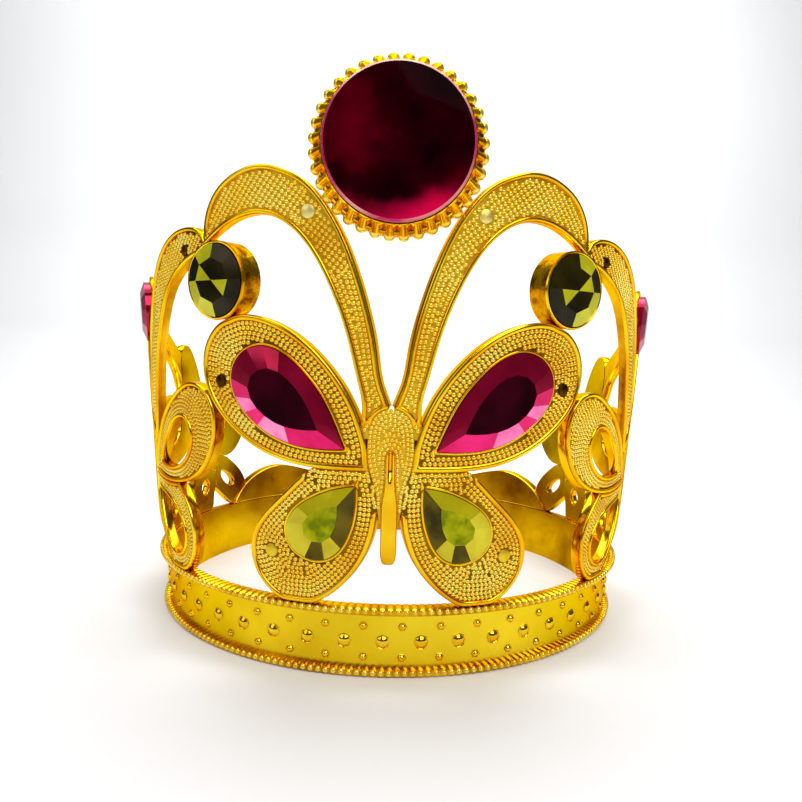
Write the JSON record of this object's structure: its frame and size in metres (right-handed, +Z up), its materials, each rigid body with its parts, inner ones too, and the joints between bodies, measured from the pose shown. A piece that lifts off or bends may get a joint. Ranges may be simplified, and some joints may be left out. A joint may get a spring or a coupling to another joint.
{
  "type": "toy crown",
  "caption": "Full-ring toy crown of gold-plated mouldings: a ribbed, studded band carries butterflies of beaded loops and wings, set with faceted gems.",
  "frame": {"origin": "centre of the head opening, in the plane of the band's underside", "axes": "+Z up, the front butterfly and crest gem face -Y, +X is the wearer's left"},
  "size_m": [0.1616, 0.1664, 0.146],
  "materials": {
    "gold": "vacuum-metallised gold on moulded plastic, polished raised edges and a satin inside",
    "crimson_gem": "foil-backed acrylic, crimson, polished",
    "red_gem": "foil-backed acrylic, magenta red, faceted",
    "green_gem": "foil-backed acrylic, yellow green, faceted",
    "olive_gem": "foil-backed acrylic, dark olive, faceted"
  },
  "bodies": {
    "root": {"band_wall": "gold", "lower_rim": "gold", "upper_rim": "gold", "large_studs": "gold", "small_studs": "gold", "back_crest": "gold", "front_body": "gold", "front_tail": "gold", "crest_bezel": "gold", "crest_gem": "crimson_gem", "front_loop_right": "gold", "front_wing_right": "gold", "front_lower_wing_right": "gold", "front_wing_gem_right": "red_gem", "front_lower_gem_right": "green_gem", "olive_cup_right": "gold", "olive_gem_right": "olive_gem", "side_body_right": "gold", "side_front_loop_right": "gold", "side_rear_loop_right": "gold", "side_front_wing_right": "gold", "side_rear_wing_right": "gold", "side_front_lower_wing_right": "gold", "side_rear_lower_wing_right": "gold", "side_gem_seat_right": "gold", "side_gem_right": "red_gem", "rear_body_right": "gold", "rear_front_wing_right": "gold", "rear_back_wing_right": "gold", "rear_front_leaf_right": "gold", "rear_back_leaf_right": "gold", "front_loop_left": "gold", "front_wing_left": "gold", "front_lower_wing_left": "gold", "front_wing_gem_left": "red_gem", "front_lower_gem_left": "green_gem", "olive_cup_left": "gold", "olive_gem_left": "olive_gem", "side_body_left": "gold", "side_front_loop_left": "gold", "side_rear_loop_left": "gold", "side_front_wing_left": "gold", "side_rear_wing_left": "gold", "side_front_lower_wing_left": "gold", "side_rear_lower_wing_left": "gold", "side_gem_seat_left": "gold", "side_gem_left": "red_gem", "rear_body_left": "gold", "rear_front_wing_left": "gold", "rear_back_wing_left": "gold", "rear_front_leaf_left": "gold", "rear_back_leaf_left": "gold"}
  },
  "joints": []
}
